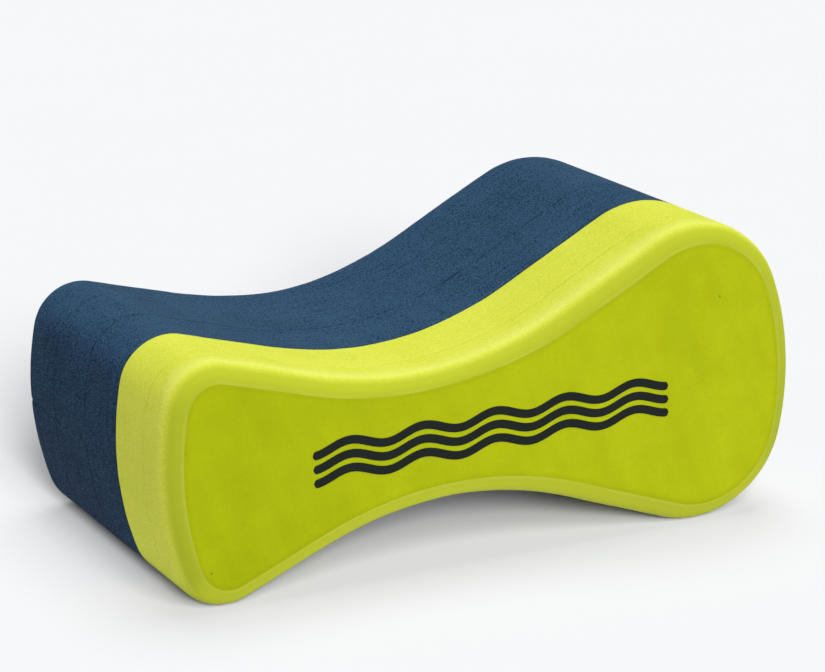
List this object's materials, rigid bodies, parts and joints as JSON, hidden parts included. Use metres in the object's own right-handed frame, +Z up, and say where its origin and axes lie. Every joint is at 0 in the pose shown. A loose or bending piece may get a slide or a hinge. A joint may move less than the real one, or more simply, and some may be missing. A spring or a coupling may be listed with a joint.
{
  "type": "pull buoy",
  "caption": "Hourglass-shaped swimming float laminated from foam sheets, a small and a large rounded lobe joined by a narrow waist, lime front and navy body, with printed wave stripes.",
  "frame": {"origin": "centre of the footprint, on the surface that the buoy stands on", "axes": "+X along the length from the small lobe to the large lobe, +Y through the thickness from the lime face to the navy face, +Z up with both lobes resting on the surface"},
  "size_m": [0.2298, 0.1236, 0.1029],
  "materials": {
    "lime_foam": "closed-cell EVA foam, moulded skin on the face and cut cells on the rim and sides",
    "navy_foam": "closed-cell EVA foam with cut, speckled cells",
    "glue": "thin film of contact glue",
    "ink": "matt screen-printed ink"
  },
  "bodies": {
    "root": {"lime_front_sheet": "lime_foam", "lime_inner_sheet": "lime_foam", "navy_front_sheet": "navy_foam", "navy_middle_sheet": "navy_foam", "navy_rear_sheet": "navy_foam", "glue_film_lime": "glue", "glue_film_lime_to_navy": "glue", "glue_film_navy_front": "glue", "glue_film_navy_rear": "glue", "print_wave_upper": "ink", "print_wave_middle": "ink", "print_wave_lower": "ink"}
  },
  "joints": []
}
